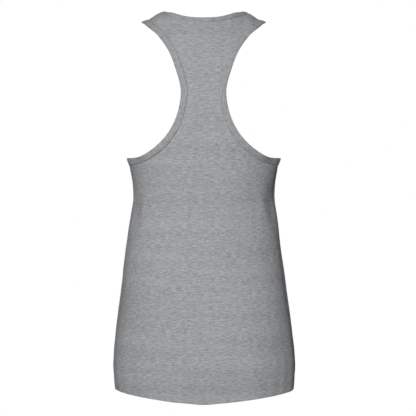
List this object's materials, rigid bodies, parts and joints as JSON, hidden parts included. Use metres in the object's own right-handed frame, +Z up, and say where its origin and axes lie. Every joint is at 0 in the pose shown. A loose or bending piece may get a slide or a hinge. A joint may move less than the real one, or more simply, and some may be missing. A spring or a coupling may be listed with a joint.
{
  "type": "racerback tank top",
  "caption": "Women's racerback tank top in light heather grey jersey, filled out as worn and hollow, with bound neck and armholes and a curved turned-up hem.",
  "frame": {"origin": "midway between the tops of the two shoulder straps, on the line along which the shoulders hold the top up", "axes": "+Z up; +Y the way the wearer faces, so the back is on the -Y side; +X towards the wearer's right"},
  "size_m": [0.327, 0.2409, 0.6918],
  "materials": {
    "jersey": "matte heather knit jersey"
  },
  "bodies": {
    "root": {"back_panel": "jersey", "front_panel": "jersey", "neck_binding": "jersey", "armhole_binding_left": "jersey", "armhole_binding_right": "jersey"}
  },
  "joints": []
}
